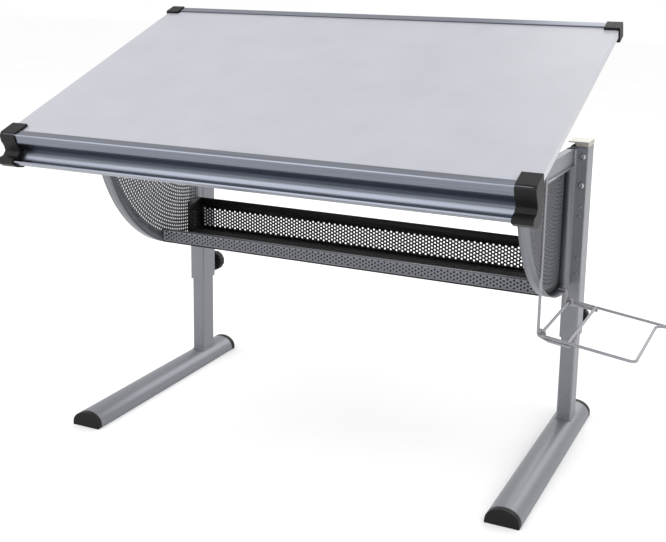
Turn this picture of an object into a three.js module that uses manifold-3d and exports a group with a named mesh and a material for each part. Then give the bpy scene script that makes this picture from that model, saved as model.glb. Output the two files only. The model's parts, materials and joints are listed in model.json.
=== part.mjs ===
// A height- and tilt-adjustable drafting table with a pencil rail, a perforated tray,
// arc-shaped side panels and a fold-up wire rack. Millimetres, +Z up, the user sits at -Y.
// The table is worked out about the middle of its two posts, and then moved so that its
// origin is at the middle of its bounding box, on the floor.
import * as THREE from "three";
import { mergeVertices } from "three/addons/utils/BufferGeometryUtils.js";
import Module from "manifold-3d";

// ---- Driving dimensions -------------------------------------------------------------

const fitGap = 0.3; // between pieces that touch
const sheet = 1.5; // wall of every folded sheet part

// Feet and posts
const postHalfSpacing = 478; // table centre to post centre
const footWidth = 68;
const footHeight = 33;
const footSideHeight = 7; // straight side below the arched top
const footLength = 590; // with both end caps
const footRearReach = 100; // post centre to the rear end of the foot
const footWall = 2;
const footCapLength = 14;
const lowerPostWidth = 32;
const lowerPostDepth = 50;
const lowerPostWall = 2;
const lowerPostCorner = 4;
const lowerPostTop = 500;
const upperPostWall = 1.5;
const upperPostCorner = 5;
const upperPostBottom = 222;
const upperPostTop = 647;
const bushHeight = 18;
const bushSideWall = 1.4;
const bushFrontWall = 1.9;
const bushClearance = 0.3; // to the lower post inside it and the upper post outside it

// Height knob, on the rear of each post
const heightKnobLevel = 251;
const heightKnobRadius = 25;
const heightKnobLength = 22;
const heightKnobStem = 8;
const heightStudRadius = 4;
const weldNutRadius = 9;
const weldNutLength = 8;
const threadClearance = 0.4;

// Side panels: a folded pan under each rail, with an arc-shaped lower edge
const panelInset = 22; // post centre to the panel's inner face
const panelDepth = 22;
const panelArcRadius = 353.5;
const panelArcY = -81.5; // arc centre, level with the bottom of the arc's run-out
const panelTop = 611.7;
const panelArcBottom = 341.8;
const panelCornerRadius = 8;

// Upright tube behind each panel, and the plate that bolts it to the post
const uprightDepth = 24;
const uprightBottom = 347;
const uprightCornerRadius = 2.5;
const mountPlateThickness = 3;
const mountPlateCornerRadius = 9;
const mountBoltLevels = [627, 565];
const mountBoltRadius = 4;
const mountHeadRadius = 6.5;
const mountHeadHeight = 4.5;
const mountBoltOffset = 10; // outwards from the post centre

// Top rails, which carry the board's hinge
const railWidth = 16;
const railTop = 645;
const hingeAboveRail = 5.3;
const hingeY = -578.8;
const lugRadius = 8;
const lugThickness = 4;
const hingePinRadius = 3;
const pinClearance = 0.3;

// Rest plates on the posts
const restPlateThickness = 3;
const restPlateLift = 8; // open gap under its inner end
const restPlateOverhang = 4;
const restRiserInset = 12;

// Board
const tiltAtRest = THREE.MathUtils.degToRad(20.5);
const tiltSteepest = THREE.MathUtils.degToRad(35);
const boardWidth = 1092;
const boardDepth = 656;
const boardThickness = 16;
const edgeStep = 0.5; // step round the board's face, under the rails and caps
const hingeSetback = 45; // front edge of the board to the hinge, along the board
const bearerWidth = 30;
const bearerHeight = 14;
const bearerFront = 30;
const bearerRear = 636;
const bearerWall = 1.5;
const hingeBelowBearer = 9.7;
const bearerEarThickness = 3;
const bearerEarRadius = 8;

// Front pencil rail and rear rail, as sections of the board's edge
const edgeFlange = 3.4; // height of a rail's flange over the board
const frontFlangeReach = 16;
const frontFace = 3; // thickness in front of the board
const rearFlangeReach = 13;
const rearFace = 7;
const rearRailDrop = 24;
const railEndInset = 4; // rail end to the board's side edge
const frontCapLength = 34;
const frontCapWall = 2.6;
const frontCapReach = 40;
const rearCapLength = 30;
const rearCapReach = 24;
const capTopThickness = 2.5;
const capSideThickness = 3;

// Tilt stays
const stayRadius = 210; // hinge to the stay pin, and hinge to the lock stud
const stayLead = THREE.MathUtils.degToRad(5.5); // lock stud below the pin when the board is flat
const stayWidth = 20;
const stayThickness = 3;
const stayEnd = 12; // metal past each end of the slot
const lockStudRadius = 3;
const lockKnobRadius = 17;
const lockKnobLength = 18;
const lockSpacerRadius = 7;

// Tray and its front fascia
const trayRear = -43.5;
const trayFront = -209.7;
const trayFloor = 364.5;
const trayBackTop = 442;
const trayLipTop = 393.5;
const trayEndLength = 60;
const fasciaHeight = 27;
const fasciaBottom = 368.5;
const fasciaLip = 9;

// Fold-up wire rack on the right side
const wireRadius = 3;
const rackHingeZ = 322;
const rackDroop = THREE.MathUtils.degToRad(7.4);
const rackFrontY = -322;
const rackRearY = -72;
const rackReach = 184;
const rackTipReach = 212;
const rackCrossRod = 55;
const rackEyeInset = 12;
const rackEyeClearance = 0.6;
const rackPanelClearance = 0.9; // panel's outer face to the hanger wires
const rackTail = 60;
const hangerTip = 14;

// Cord hook behind the right post
const hookRadius = 1.6;
const hookLevel = 638;
const hookDrop = 20;
const hookReach = 13;

// ---- Dimensions that follow from them -----------------------------------------------

const upperPostWidth = lowerPostWidth + 2 * (bushSideWall + 2 * bushClearance + upperPostWall);
const upperPostDepth = lowerPostDepth + 2 * (bushFrontWall + 2 * bushClearance + upperPostWall);
const postFront = -upperPostDepth / 2;
const postRear = upperPostDepth / 2;
const mountPlateFront = postFront - fitGap - mountPlateThickness;
const panelRear = mountPlateFront - fitGap - uprightDepth - fitGap;
const panelInner = postHalfSpacing - panelInset;
const panelOuter = panelInner + panelDepth;
const panelArcZ = panelArcBottom + panelArcRadius;
const railBottom = panelTop + fitGap;
const railInner = panelInner;
const railOuter = railInner + railWidth;
const railFront = hingeY - lugRadius;
const railRear = panelRear;
const hingeZ = railTop + hingeAboveRail;
const hingeDrop = boardThickness + fitGap + bearerHeight + hingeBelowBearer; // board top to hinge
const stayEarInner = railInner - fitGap - bearerEarThickness;
const stayOuterFace = stayEarInner - fitGap;
const stayInnerFace = stayOuterFace - stayThickness;
const lockStudY = hingeY + stayRadius * Math.cos(stayLead);
const lockStudZ = hingeZ - stayRadius * Math.sin(stayLead);
const lockKnobFace = stayInnerFace - fitGap;
const eyeRadius = 2 * wireRadius + rackEyeClearance;
const rackHingeX = panelOuter + rackPanelClearance + wireRadius + eyeRadius;

// ---- Materials ----------------------------------------------------------------------

const finish = (color, roughness, metalness) =>
  new THREE.MeshStandardMaterial({ color, roughness, metalness });
const laminate = finish("#c9cad0", 0.45, 0);
const silverPaint = finish("#84878f", 0.4, 0.6);
const railAluminium = finish("#8d929e", 0.3, 0.9);
const trayPaint = finish("#141416", 0.5, 0.2);
const blackPlastic = finish("#1e1e20", 0.55, 0);
const zincSteel = finish("#b4b6ba", 0.3, 1);
const paleNylon = finish("#cfd0cb", 0.6, 0);

// ---- Solid helpers ------------------------------------------------------------------

const wasm = await Module();
wasm.setup();

function toSolid(geometry) {
  const bare = new THREE.BufferGeometry();
  bare.setAttribute("position", geometry.getAttribute("position"));
  bare.setIndex(geometry.getIndex());
  const merged = mergeVertices(bare, 1e-4);
  return new wasm.Manifold(
    new wasm.Mesh({
      numProp: 3,
      vertProperties: merged.getAttribute("position").array,
      triVerts: new Uint32Array(merged.getIndex().array),
    }),
  );
}

function toGeometry(solid) {
  const mesh = solid.getMesh();
  const geometry = new THREE.BufferGeometry();
  geometry.setAttribute("position", new THREE.BufferAttribute(mesh.vertProperties, 3));
  geometry.setIndex(new THREE.BufferAttribute(mesh.triVerts, 1));
  geometry.computeVertexNormals();
  return geometry;
}

const join = (...pieces) =>
  toGeometry(pieces.map(toSolid).reduce((whole, piece) => whole.add(piece)));

const cut = (piece, ...tools) =>
  toGeometry(tools.map(toSolid).reduce((whole, tool) => whole.subtract(tool), toSolid(piece)));

// Axes for an outline's x, its y and the way it is extruded.
const axisX = new THREE.Vector3(1, 0, 0);
const axisY = new THREE.Vector3(0, 1, 0);
const axisZ = new THREE.Vector3(0, 0, 1);

function extrude(outline, depth, curveSegments) {
  return new THREE.ExtrudeGeometry(outline, { depth, bevelEnabled: false, curveSegments });
}

// An outline in (y, z), extruded along X from one place to another.
function alongX(outline, fromX, toX, curveSegments = 8) {
  return extrude(outline, toX - fromX, curveSegments)
    .applyMatrix4(new THREE.Matrix4().makeBasis(axisY, axisZ, axisX))
    .translate(fromX, 0, 0);
}

// An outline in (x, z), extruded along Y.
function alongY(outline, fromY, toY, curveSegments = 8) {
  return extrude(outline, toY - fromY, curveSegments)
    .applyMatrix4(new THREE.Matrix4().makeBasis(axisX, axisZ, axisY.clone().negate()))
    .translate(0, toY, 0);
}

// An outline in (x, y), extruded along Z.
function alongZ(outline, fromZ, toZ, curveSegments = 8) {
  return extrude(outline, toZ - fromZ, curveSegments).translate(0, 0, fromZ);
}

function block(fromX, toX, fromY, toY, fromZ, toZ) {
  return new THREE.BoxGeometry(toX - fromX, toY - fromY, toZ - fromZ).translate(
    (fromX + toX) / 2,
    (fromY + toY) / 2,
    (fromZ + toZ) / 2,
  );
}

function rectangle(width, height, radius) {
  const x = width / 2;
  const y = height / 2;
  return new THREE.Shape()
    .moveTo(-x + radius, -y)
    .lineTo(x - radius, -y)
    .absarc(x - radius, -y + radius, radius, -Math.PI / 2, 0, false)
    .absarc(x - radius, y - radius, radius, 0, Math.PI / 2, false)
    .absarc(-x + radius, y - radius, radius, Math.PI / 2, Math.PI, false)
    .absarc(-x + radius, -y + radius, radius, Math.PI, Math.PI * 1.5, false);
}

function polygon(points) {
  return new THREE.Shape(points.map(([x, y]) => new THREE.Vector2(x, y)));
}

// A round bar between two points.
function bar(start, end, radius, sides = 16) {
  const from = new THREE.Vector3(...start);
  const to = new THREE.Vector3(...end);
  const direction = to.clone().sub(from);
  const turn = new THREE.Quaternion().setFromUnitVectors(axisY, direction.clone().normalize());
  return new THREE.CylinderGeometry(radius, radius, direction.length(), sides)
    .applyQuaternion(turn)
    .translate(...from.add(to).multiplyScalar(0.5).toArray());
}

// A round bar along X, Y or Z, turned on a lathe from (radius, place) points.
function turned(profile, axis, sides = 24) {
  const points = profile.map(([radius, place]) => new THREE.Vector2(radius, place));
  const turn = new THREE.Quaternion().setFromUnitVectors(axisY, axis);
  return new THREE.LatheGeometry(points, sides).applyQuaternion(turn);
}

// A path's points with each corner rounded in short straight steps.
function roundedPath(points, radius, steps = 4) {
  const corners = points.map((point) => new THREE.Vector3(...point));
  const path = [corners[0]];
  for (let i = 1; i < corners.length - 1; i += 1) {
    const before = corners[i - 1].clone().sub(corners[i]).normalize();
    const after = corners[i + 1].clone().sub(corners[i]).normalize();
    const setback = radius / Math.tan(before.angleTo(after) / 2);
    const bend = new THREE.QuadraticBezierCurve3(
      corners[i].clone().addScaledVector(before, setback),
      corners[i],
      corners[i].clone().addScaledVector(after, setback),
    );
    path.push(...bend.getPoints(steps));
  }
  path.push(corners[corners.length - 1]);
  return path.map((point) => point.toArray());
}

// Bent wire: a ring of points at each point of the path, square to the bend there.
function wire(path, radius, sides = 8) {
  const points = path.map((point) => new THREE.Vector3(...point));
  const last = points.length - 1;
  const direction = (i) => points[i + 1].clone().sub(points[i]).normalize();
  const start = direction(0);
  let side = Math.abs(start.y) > 0.9 ? axisX.clone() : axisY.clone();
  const positions = [];
  points.forEach((point, i) => {
    const along = direction(Math.max(i - 1, 0))
      .add(direction(Math.min(i, last - 1)))
      .normalize();
    side = side.clone().addScaledVector(along, -side.dot(along)).normalize();
    const up = along.clone().cross(side);
    for (let k = 0; k < sides; k += 1) {
      const angle = (k / sides) * Math.PI * 2;
      const corner = point
        .clone()
        .addScaledVector(side, radius * Math.cos(angle))
        .addScaledVector(up, radius * Math.sin(angle));
      positions.push(...corner.toArray());
    }
  });
  const index = [];
  for (let i = 0; i < last; i += 1) {
    for (let k = 0; k < sides; k += 1) {
      const here = i * sides + k;
      const next = i * sides + ((k + 1) % sides);
      index.push(here, next, next + sides, here, next + sides, here + sides);
    }
  }
  const end = last * sides;
  for (let k = 1; k < sides - 1; k += 1) {
    index.push(0, k + 1, k, end, end + k, end + k + 1);
  }
  const geometry = new THREE.BufferGeometry();
  geometry.setAttribute("position", new THREE.Float32BufferAttribute(positions, 3));
  geometry.setIndex(index);
  geometry.computeVertexNormals();
  return geometry;
}

function add(parent, name, geometry, material) {
  const mesh = new THREE.Mesh(geometry, material);
  mesh.name = name;
  parent.add(mesh);
  return mesh;
}

// The right-hand piece, and its mirror image on the left.
function addPair(parent, name, geometry, material) {
  add(parent, `right_${name}`, geometry, material);
  add(parent, `left_${name}`, geometry, material).scale.x = -1;
}

// ---- Base: two feet and the lower posts ---------------------------------------------

function footSection(inset) {
  const halfWidth = footWidth / 2 - inset;
  const side = footSideHeight;
  const arch = footHeight - inset - side;
  return new THREE.Shape()
    .moveTo(-halfWidth, inset)
    .lineTo(halfWidth, inset)
    .lineTo(halfWidth, side)
    .absellipse(0, side, halfWidth, arch, 0, Math.PI, false, 0);
}

function foot() {
  const front = footRearReach - footLength + footCapLength + fitGap;
  const rear = footRearReach - footCapLength - fitGap;
  const shell = alongY(footSection(0), front, rear, 20);
  return cut(shell, alongY(footSection(footWall), front - 1, rear + 1, 20)).translate(
    postHalfSpacing,
    0,
    0,
  );
}

// An end cap with a plug that fills the foot's mouth.
function footCap(end, direction) {
  const plugDepth = 12;
  const face = end - direction * footCapLength;
  const tip = face - direction * plugDepth;
  const cap = alongY(footSection(0), Math.min(end, face), Math.max(end, face), 20);
  const plug = alongY(
    footSection(footWall + fitGap),
    Math.min(tip, end - direction),
    Math.max(tip, end - direction),
    20,
  );
  return join(cap, plug).translate(postHalfSpacing, 0, 0);
}

function lowerPost() {
  const outside = rectangle(lowerPostWidth, lowerPostDepth, lowerPostCorner);
  const inside = rectangle(
    lowerPostWidth - 2 * lowerPostWall,
    lowerPostDepth - 2 * lowerPostWall,
    lowerPostCorner - lowerPostWall,
  );
  const tube = cut(
    alongZ(outside, footSideHeight, lowerPostTop, 4),
    alongZ(inside, 0, lowerPostTop + 1, 4),
  );
  // The lower end is coped over the foot's arched top.
  const arch = alongY(footSection(-fitGap), -lowerPostDepth, lowerPostDepth, 20);
  return cut(tube, arch).translate(postHalfSpacing, 0, 0);
}

// ---- Posts and side frames ----------------------------------------------------------

function upperPost() {
  const outside = rectangle(upperPostWidth, upperPostDepth, upperPostCorner);
  const inside = rectangle(
    upperPostWidth - 2 * upperPostWall,
    upperPostDepth - 2 * upperPostWall,
    upperPostCorner - upperPostWall,
  );
  const tube = cut(
    alongZ(outside, upperPostBottom, upperPostTop, 4),
    alongZ(inside, upperPostBottom - 1, upperPostTop + 1, 4),
  );
  const studHole = bar(
    [0, 0, heightKnobLevel],
    [0, postRear + 1, heightKnobLevel],
    heightStudRadius + threadClearance,
  );
  return cut(tube, studHole).translate(postHalfSpacing, 0, 0);
}

// A nylon sleeve in the mouth of the upper post, round the lower post.
function guideBush() {
  const outside = rectangle(
    upperPostWidth - 2 * (upperPostWall + bushClearance),
    upperPostDepth - 2 * (upperPostWall + bushClearance),
    upperPostCorner - upperPostWall - bushClearance,
  );
  const inside = rectangle(
    lowerPostWidth + 2 * bushClearance,
    lowerPostDepth + 2 * bushClearance,
    lowerPostCorner + bushClearance,
  );
  return cut(
    alongZ(outside, upperPostBottom, upperPostBottom + bushHeight, 4),
    alongZ(inside, upperPostBottom - 1, upperPostBottom + bushHeight + 1, 4),
  ).translate(postHalfSpacing, 0, 0);
}

function panelOutline(inset) {
  const top = panelTop - inset;
  const rear = panelRear - inset;
  const radius = panelArcRadius - inset;
  const bottom = panelArcZ - radius;
  const corner = panelCornerRadius - inset;
  const startAngle = Math.PI + Math.asin((panelArcZ - top) / radius);
  return new THREE.Shape()
    .moveTo(rear, top)
    .lineTo(panelArcY + radius * Math.cos(startAngle), top)
    .absarc(panelArcY, panelArcZ, radius, startAngle, Math.PI * 1.5, false)
    .lineTo(rear - corner, bottom)
    .absarc(rear - corner, bottom + corner, corner, -Math.PI / 2, 0, false);
}

// The pan is closed towards the middle of the table and open outwards.
function sidePanel() {
  const solid = alongX(panelOutline(0), panelInner, panelOuter, 28);
  return cut(solid, alongX(panelOutline(sheet), panelInner + sheet, panelOuter + 1, 28));
}

// A rectangular tube that joins the panel's rear edge to the plate on the post.
function sideUpright() {
  const front = panelRear + fitGap;
  const wall = 2 * sheet;
  const tube = (width, depth, radius, from, to) =>
    alongZ(rectangle(width, depth, radius), from, to, 4).translate(
      (panelInner + panelOuter) / 2,
      front + uprightDepth / 2,
      0,
    );
  return cut(
    tube(panelDepth, uprightDepth, uprightCornerRadius, uprightBottom, railTop),
    tube(
      panelDepth - wall,
      uprightDepth - wall,
      uprightCornerRadius - sheet,
      uprightBottom - 1,
      railTop + 1,
    ),
  );
}

const mountPlateRear = mountPlateFront + mountPlateThickness;

// A flat plate on the post's front, rounded at its lower corners.
function mountPlate() {
  const inner = postHalfSpacing - upperPostWidth / 2;
  const outer = postHalfSpacing + upperPostWidth / 2;
  const radius = mountPlateCornerRadius;
  const outline = new THREE.Shape()
    .moveTo(inner, railTop)
    .lineTo(inner, uprightBottom + radius)
    .absarc(inner + radius, uprightBottom + radius, radius, Math.PI, Math.PI * 1.5, false)
    .lineTo(outer - radius, uprightBottom)
    .absarc(outer - radius, uprightBottom + radius, radius, -Math.PI / 2, 0, false)
    .lineTo(outer, railTop);
  const holes = mountBoltLevels.map((level) =>
    bar(
      [postHalfSpacing + mountBoltOffset, mountPlateFront - 1, level],
      [postHalfSpacing + mountBoltOffset, mountPlateRear + 1, level],
      mountBoltRadius + pinClearance,
    ),
  );
  return cut(alongY(outline, mountPlateFront, mountPlateRear, 5), ...holes);
}

function mountBolt(level) {
  const head = mountPlateFront - fitGap;
  const x = postHalfSpacing + mountBoltOffset;
  return join(
    bar([x, head - mountHeadHeight, level], [x, head, level], mountHeadRadius, 20),
    bar([x, head - 1, level], [x, postFront - fitGap, level], mountBoltRadius),
  );
}

// A rectangular tube, with a lug at its front end for the board's hinge pin.
function topRail() {
  const tube = cut(
    block(railInner, railOuter, railFront, railRear, railBottom, railTop),
    block(
      railInner + sheet,
      railOuter - sheet,
      railFront - 1,
      railRear + 1,
      railBottom + sheet,
      railTop - sheet,
    ),
  );
  const lug = join(
    bar(
      [railInner, hingeY, hingeZ],
      [railInner + lugThickness, hingeY, hingeZ],
      lugRadius,
      20,
    ),
    block(
      railInner,
      railInner + lugThickness,
      hingeY - lugRadius,
      hingeY + lugRadius,
      railBottom + sheet,
      hingeZ,
    ),
  );
  const pinHole = bar(
    [railInner - 1, hingeY, hingeZ],
    [railOuter, hingeY, hingeZ],
    hingePinRadius + pinClearance,
  );
  const studHole = bar(
    [railInner - 1, lockStudY, lockStudZ],
    [railOuter - sheet - 1, lockStudY, lockStudZ],
    lockStudRadius + threadClearance,
  );
  return cut(join(tube, lug), pinHole, studHole);
}

// A plate on the post that the flat board rests on, open below its inner end.
function restPlate() {
  const outer = postHalfSpacing + upperPostWidth / 2;
  const inner = postHalfSpacing - upperPostWidth / 2 - restPlateOverhang;
  const riserBottom = upperPostTop + fitGap;
  const plateBottom = upperPostTop + restPlateLift;
  return join(
    block(
      inner + restRiserInset + restPlateOverhang,
      outer,
      postFront,
      postRear,
      riserBottom,
      plateBottom + 1,
    ),
    block(
      inner,
      outer,
      postFront - 2,
      postRear + 2,
      plateBottom,
      plateBottom + restPlateThickness,
    ),
  );
}

// ---- Height knobs -------------------------------------------------------------------

function weldNut() {
  const start = postRear + fitGap;
  const bored = heightStudRadius + threadClearance;
  return turned(
    [
      [bored, start],
      [weldNutRadius, start],
      [weldNutRadius, start + weldNutLength],
      [bored, start + weldNutLength],
      [bored, start],
    ],
    axisY,
  ).translate(postHalfSpacing, 0, heightKnobLevel);
}

const knobStemStart = postRear + weldNutLength + 2 * fitGap;
const knobHeadStart = knobStemStart + heightKnobStem;
const knobHeadEnd = knobHeadStart + heightKnobLength;
const knobBoreEnd = knobHeadStart + 10;

function heightKnob() {
  const bored = heightStudRadius + fitGap;
  return turned(
    [
      [0, knobBoreEnd],
      [bored, knobBoreEnd],
      [bored, knobStemStart],
      [heightKnobRadius * 0.5, knobStemStart],
      [heightKnobRadius * 0.5, knobHeadStart],
      [heightKnobRadius * 0.9, knobHeadStart],
      [heightKnobRadius, knobHeadStart + 4],
      [heightKnobRadius, knobHeadEnd - 5],
      [heightKnobRadius * 0.82, knobHeadEnd],
      [0, knobHeadEnd],
    ],
    axisY,
  ).translate(postHalfSpacing, 0, heightKnobLevel);
}

function heightStud() {
  return bar(
    [postHalfSpacing, lowerPostDepth / 2 + threadClearance, heightKnobLevel],
    [postHalfSpacing, knobBoreEnd - fitGap, heightKnobLevel],
    heightStudRadius,
  );
}

// ---- Tray ---------------------------------------------------------------------------

function tray() {
  const halfWidth = panelInner - fitGap;
  const back = block(
    -halfWidth,
    halfWidth,
    trayRear - sheet,
    trayRear,
    trayFloor,
    trayBackTop,
  );
  const floor = block(
    -halfWidth,
    halfWidth,
    trayFront,
    trayRear,
    trayFloor,
    trayFloor + sheet,
  );
  const lip = block(
    -halfWidth,
    halfWidth,
    trayFront,
    trayFront + sheet,
    trayFloor,
    trayLipTop,
  );
  const ends = [-halfWidth, halfWidth - sheet].map((x) =>
    block(x, x + sheet, trayRear - trayEndLength, trayRear, trayFloor, trayBackTop),
  );
  return join(back, floor, lip, ...ends);
}

// A strip in front of the tray, turned over at its top edge.
function fascia() {
  const halfWidth = panelInner - fitGap;
  const rear = trayFront - fitGap;
  const front = rear - sheet;
  const top = fasciaBottom + fasciaHeight;
  return join(
    block(-halfWidth, halfWidth, front, rear, fasciaBottom, top),
    block(-halfWidth, halfWidth, front, front + fasciaLip, top - sheet, top),
  );
}

// ---- Board, in its own frame: y along the board from its front edge, z above its top ---

// A slab with a shallow step round its edge, where the rails and caps lap over it.
function boardTop() {
  const half = boardWidth / 2;
  const core = block(-half, half, 0, boardDepth, -boardThickness, -edgeStep);
  const clear = 2 * fitGap;
  const front = frontFlangeReach + clear;
  const rear = boardDepth - rearFlangeReach - clear;
  const frontCapSide = half - frontCapLength - clear;
  const frontCapEnd = frontCapReach + clear;
  const rearCapSide = half - rearCapLength - clear;
  const rearCapEnd = boardDepth - rearCapReach - clear;
  const right = [
    [frontCapSide, front],
    [frontCapSide, frontCapEnd],
    [half, frontCapEnd],
    [half, rearCapEnd],
    [rearCapSide, rearCapEnd],
    [rearCapSide, rear],
  ];
  const left = right.map(([x, y]) => [-x, y]).reverse();
  return join(core, alongZ(polygon([...right, ...left]), -edgeStep - 1, 0));
}

// The pencil rail: a flange over the board, a front face, and a hollow cove with a lip.
const coveBackShape = [
  [-frontFace, -11],
  [-2.4, -17],
  [2.5, -25],
  [6, -34.5],
  [4, -44.5],
  [-6, -52],
  [-17, -51],
  [-25.5, -43.5],
];
const lipTip = [-28.5, -45.5];
const coveUndersideShape = [
  [-19, -57],
  [-6, -64.5],
  [7, -65.5],
  [13, -56],
  [13.5, -36],
];

function smoothPoints(points, divisions) {
  const through = points.map(([x, y]) => new THREE.Vector2(x, y));
  return new THREE.SplineCurve(through).getPoints(divisions).map((p) => [p.x, p.y]);
}

function frontRailOutline() {
  const underBoard = -boardThickness - fitGap;
  return polygon([
    [frontFlangeReach, fitGap],
    [frontFlangeReach, edgeFlange],
    [-frontFace + 2, edgeFlange],
    [-frontFace, edgeFlange - 2],
    ...smoothPoints(coveBackShape, 14),
    lipTip,
    ...smoothPoints(coveUndersideShape, 8),
    [13.5, underBoard - 2],
    [frontFlangeReach, underBoard - 2],
    [frontFlangeReach, underBoard],
    [-fitGap, underBoard],
    [-fitGap, fitGap],
  ]);
}

const edgeRailHalfLength = boardWidth / 2 - railEndInset;

function frontRail() {
  return alongX(frontRailOutline(), -edgeRailHalfLength, edgeRailHalfLength);
}

// The rear rail wraps the board's rear edge as a channel.
function rearRail() {
  const edge = boardDepth;
  const under = -boardThickness - fitGap;
  const outline = polygon([
    [edge - rearFlangeReach, fitGap],
    [edge + fitGap, fitGap],
    [edge + fitGap, under],
    [edge - rearFlangeReach, under],
    [edge - rearFlangeReach, -rearRailDrop],
    [edge + rearFace, -rearRailDrop],
    [edge + rearFace, edgeFlange],
    [edge - rearFlangeReach, edgeFlange],
  ]);
  return alongX(outline, -edgeRailHalfLength, edgeRailHalfLength);
}

// A moulded end cap that follows the pencil rail's section and wraps the board's corner.
function frontCapOutline() {
  const wall = frontCapWall;
  return polygon([
    [frontCapReach, edgeFlange + wall],
    [2, edgeFlange + wall],
    [-frontFace - wall, edgeFlange - 3],
    [-frontFace - wall - 0.5, -12],
    [-2.5, -25],
    [-3, -35],
    [-12, -41],
    [-24, -39.5],
    [-31.5, -43],
    [-31, -50],
    [-21, -61],
    [-6, -69.5],
    [13, -71],
    [19, -56],
    [frontCapReach, -boardThickness - 6],
  ]);
}

function frontCap() {
  const inner = boardWidth / 2 - frontCapLength;
  const outer = boardWidth / 2 + capSideThickness;
  const body = alongX(frontCapOutline(), inner, outer);
  const boardRoom = block(
    inner - 1,
    boardWidth / 2 + fitGap,
    -fitGap,
    frontCapReach + 1,
    -boardThickness - fitGap,
    fitGap,
  );
  // The rail's section with a little room all round, so that the cap slides over it.
  const railRoom = alongX(
    frontRailOutline(),
    inner - 1,
    edgeRailHalfLength + fitGap,
  );
  const grown = [-1, 1].flatMap((dy) =>
    [-1, 1].map((dz) => railRoom.clone().translate(0, dy * fitGap, dz * fitGap)),
  );
  return cut(body, boardRoom, ...grown);
}

function rearCap() {
  const inner = boardWidth / 2 - rearCapLength;
  const outer = boardWidth / 2 + capSideThickness;
  const edge = boardDepth;
  const body = block(
    inner,
    outer,
    edge - rearCapReach,
    edge + rearFace + capTopThickness,
    -rearRailDrop - capTopThickness,
    edgeFlange + capTopThickness,
  );
  const boardRoom = block(
    inner - 1,
    boardWidth / 2 + fitGap,
    edge - rearCapReach - 1,
    edge + fitGap,
    -boardThickness - fitGap,
    fitGap,
  );
  const railRoom = block(
    inner - 1,
    edgeRailHalfLength + fitGap,
    edge - rearFlangeReach - fitGap,
    edge + rearFace + fitGap,
    -rearRailDrop - fitGap,
    edgeFlange + fitGap,
  );
  return cut(body, boardRoom, railRoom);
}

// A tube under the board with an ear for the hinge pin and one for the stay pin.
function boardBearer() {
  const inner = stayEarInner;
  const outer = inner + bearerWidth;
  const top = -boardThickness - fitGap;
  const bottom = top - bearerHeight;
  const tube = cut(
    block(inner, outer, bearerFront, bearerRear, bottom, top),
    block(
      inner + bearerWall,
      outer - bearerWall,
      bearerFront - 1,
      bearerRear + 1,
      bottom + bearerWall,
      top - bearerWall,
    ),
  );
  const earPlaces = [hingeSetback, hingeSetback + stayRadius];
  const ears = earPlaces.map((y) =>
    join(
      bar([inner, y, -hingeDrop], [inner + bearerEarThickness, y, -hingeDrop], bearerEarRadius, 20),
      block(
        inner,
        inner + bearerEarThickness,
        y - bearerEarRadius,
        y + bearerEarRadius,
        -hingeDrop,
        bottom + bearerWall / 2,
      ),
    ),
  );
  const holes = earPlaces.map((y) =>
    bar(
      [inner - 1, y, -hingeDrop],
      [inner + bearerEarThickness + 1, y, -hingeDrop],
      hingePinRadius + pinClearance,
    ),
  );
  return cut(join(tube, ...ears), ...holes);
}

// A headed pin along X, with its head towards the middle of the table.
function headedPin(fromX, toX, headLength, headRadius) {
  return turned(
    [
      [0, fromX - headLength],
      [headRadius, fromX - headLength],
      [headRadius, fromX],
      [hingePinRadius, fromX],
      [hingePinRadius, toX],
      [0, toX],
    ],
    axisX,
    20,
  );
}

// ---- Tilt stays and their lock knobs ------------------------------------------------

const slotStart = 2 * stayRadius * Math.sin(stayLead / 2) - 3;
const slotEnd = 2 * stayRadius * Math.sin((stayLead + tiltSteepest) / 2) + 3;

// A flat bar that hangs from its pin, with a long slot for the lock stud.
function tiltStay() {
  const half = stayWidth / 2;
  const slotHalf = lockStudRadius + threadClearance;
  const bottom = slotEnd + stayEnd;
  const outline = new THREE.Shape()
    .moveTo(-half, 0)
    .lineTo(-half, -bottom + half)
    .absarc(0, -bottom + half, half, Math.PI, Math.PI * 2, false)
    .lineTo(half, 0)
    .absarc(0, 0, half, 0, Math.PI, false);
  const slot = new THREE.Path()
    .moveTo(-slotHalf, -slotStart)
    .lineTo(-slotHalf, -slotEnd)
    .absarc(0, -slotEnd, slotHalf, Math.PI, Math.PI * 2, false)
    .lineTo(slotHalf, -slotStart)
    .absarc(0, -slotStart, slotHalf, 0, Math.PI, false);
  const pinHole = new THREE.Path().absarc(
    0,
    0,
    hingePinRadius + pinClearance,
    0,
    Math.PI * 2,
    false,
  );
  outline.holes.push(slot, pinHole);
  return toGeometry(toSolid(alongX(outline, stayInnerFace, stayOuterFace, 10)));
}

function lockSpacer() {
  const bored = lockStudRadius + threadClearance;
  const start = stayOuterFace + fitGap;
  const end = railInner - fitGap;
  return turned(
    [
      [bored, start],
      [lockSpacerRadius, start],
      [lockSpacerRadius, end],
      [bored, end],
      [bored, start],
    ],
    axisX,
    20,
  ).translate(0, lockStudY, lockStudZ);
}

const lockBoreDepth = 10;

function lockKnob() {
  const bored = lockStudRadius + fitGap;
  return turned(
    [
      [0, lockKnobFace - lockKnobLength],
      [lockKnobRadius * 0.8, lockKnobFace - lockKnobLength],
      [lockKnobRadius, lockKnobFace - lockKnobLength + 4],
      [lockKnobRadius, lockKnobFace - 7],
      [lockKnobRadius * 0.6, lockKnobFace - 5],
      [lockKnobRadius * 0.6, lockKnobFace],
      [bored, lockKnobFace],
      [bored, lockKnobFace - lockBoreDepth],
      [0, lockKnobFace - lockBoreDepth],
    ],
    axisX,
  );
}

function lockStud() {
  return bar(
    [lockKnobFace - lockBoreDepth + fitGap, 0, 0],
    [railInner + sheet + 4, 0, 0],
    lockStudRadius,
  );
}

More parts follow.
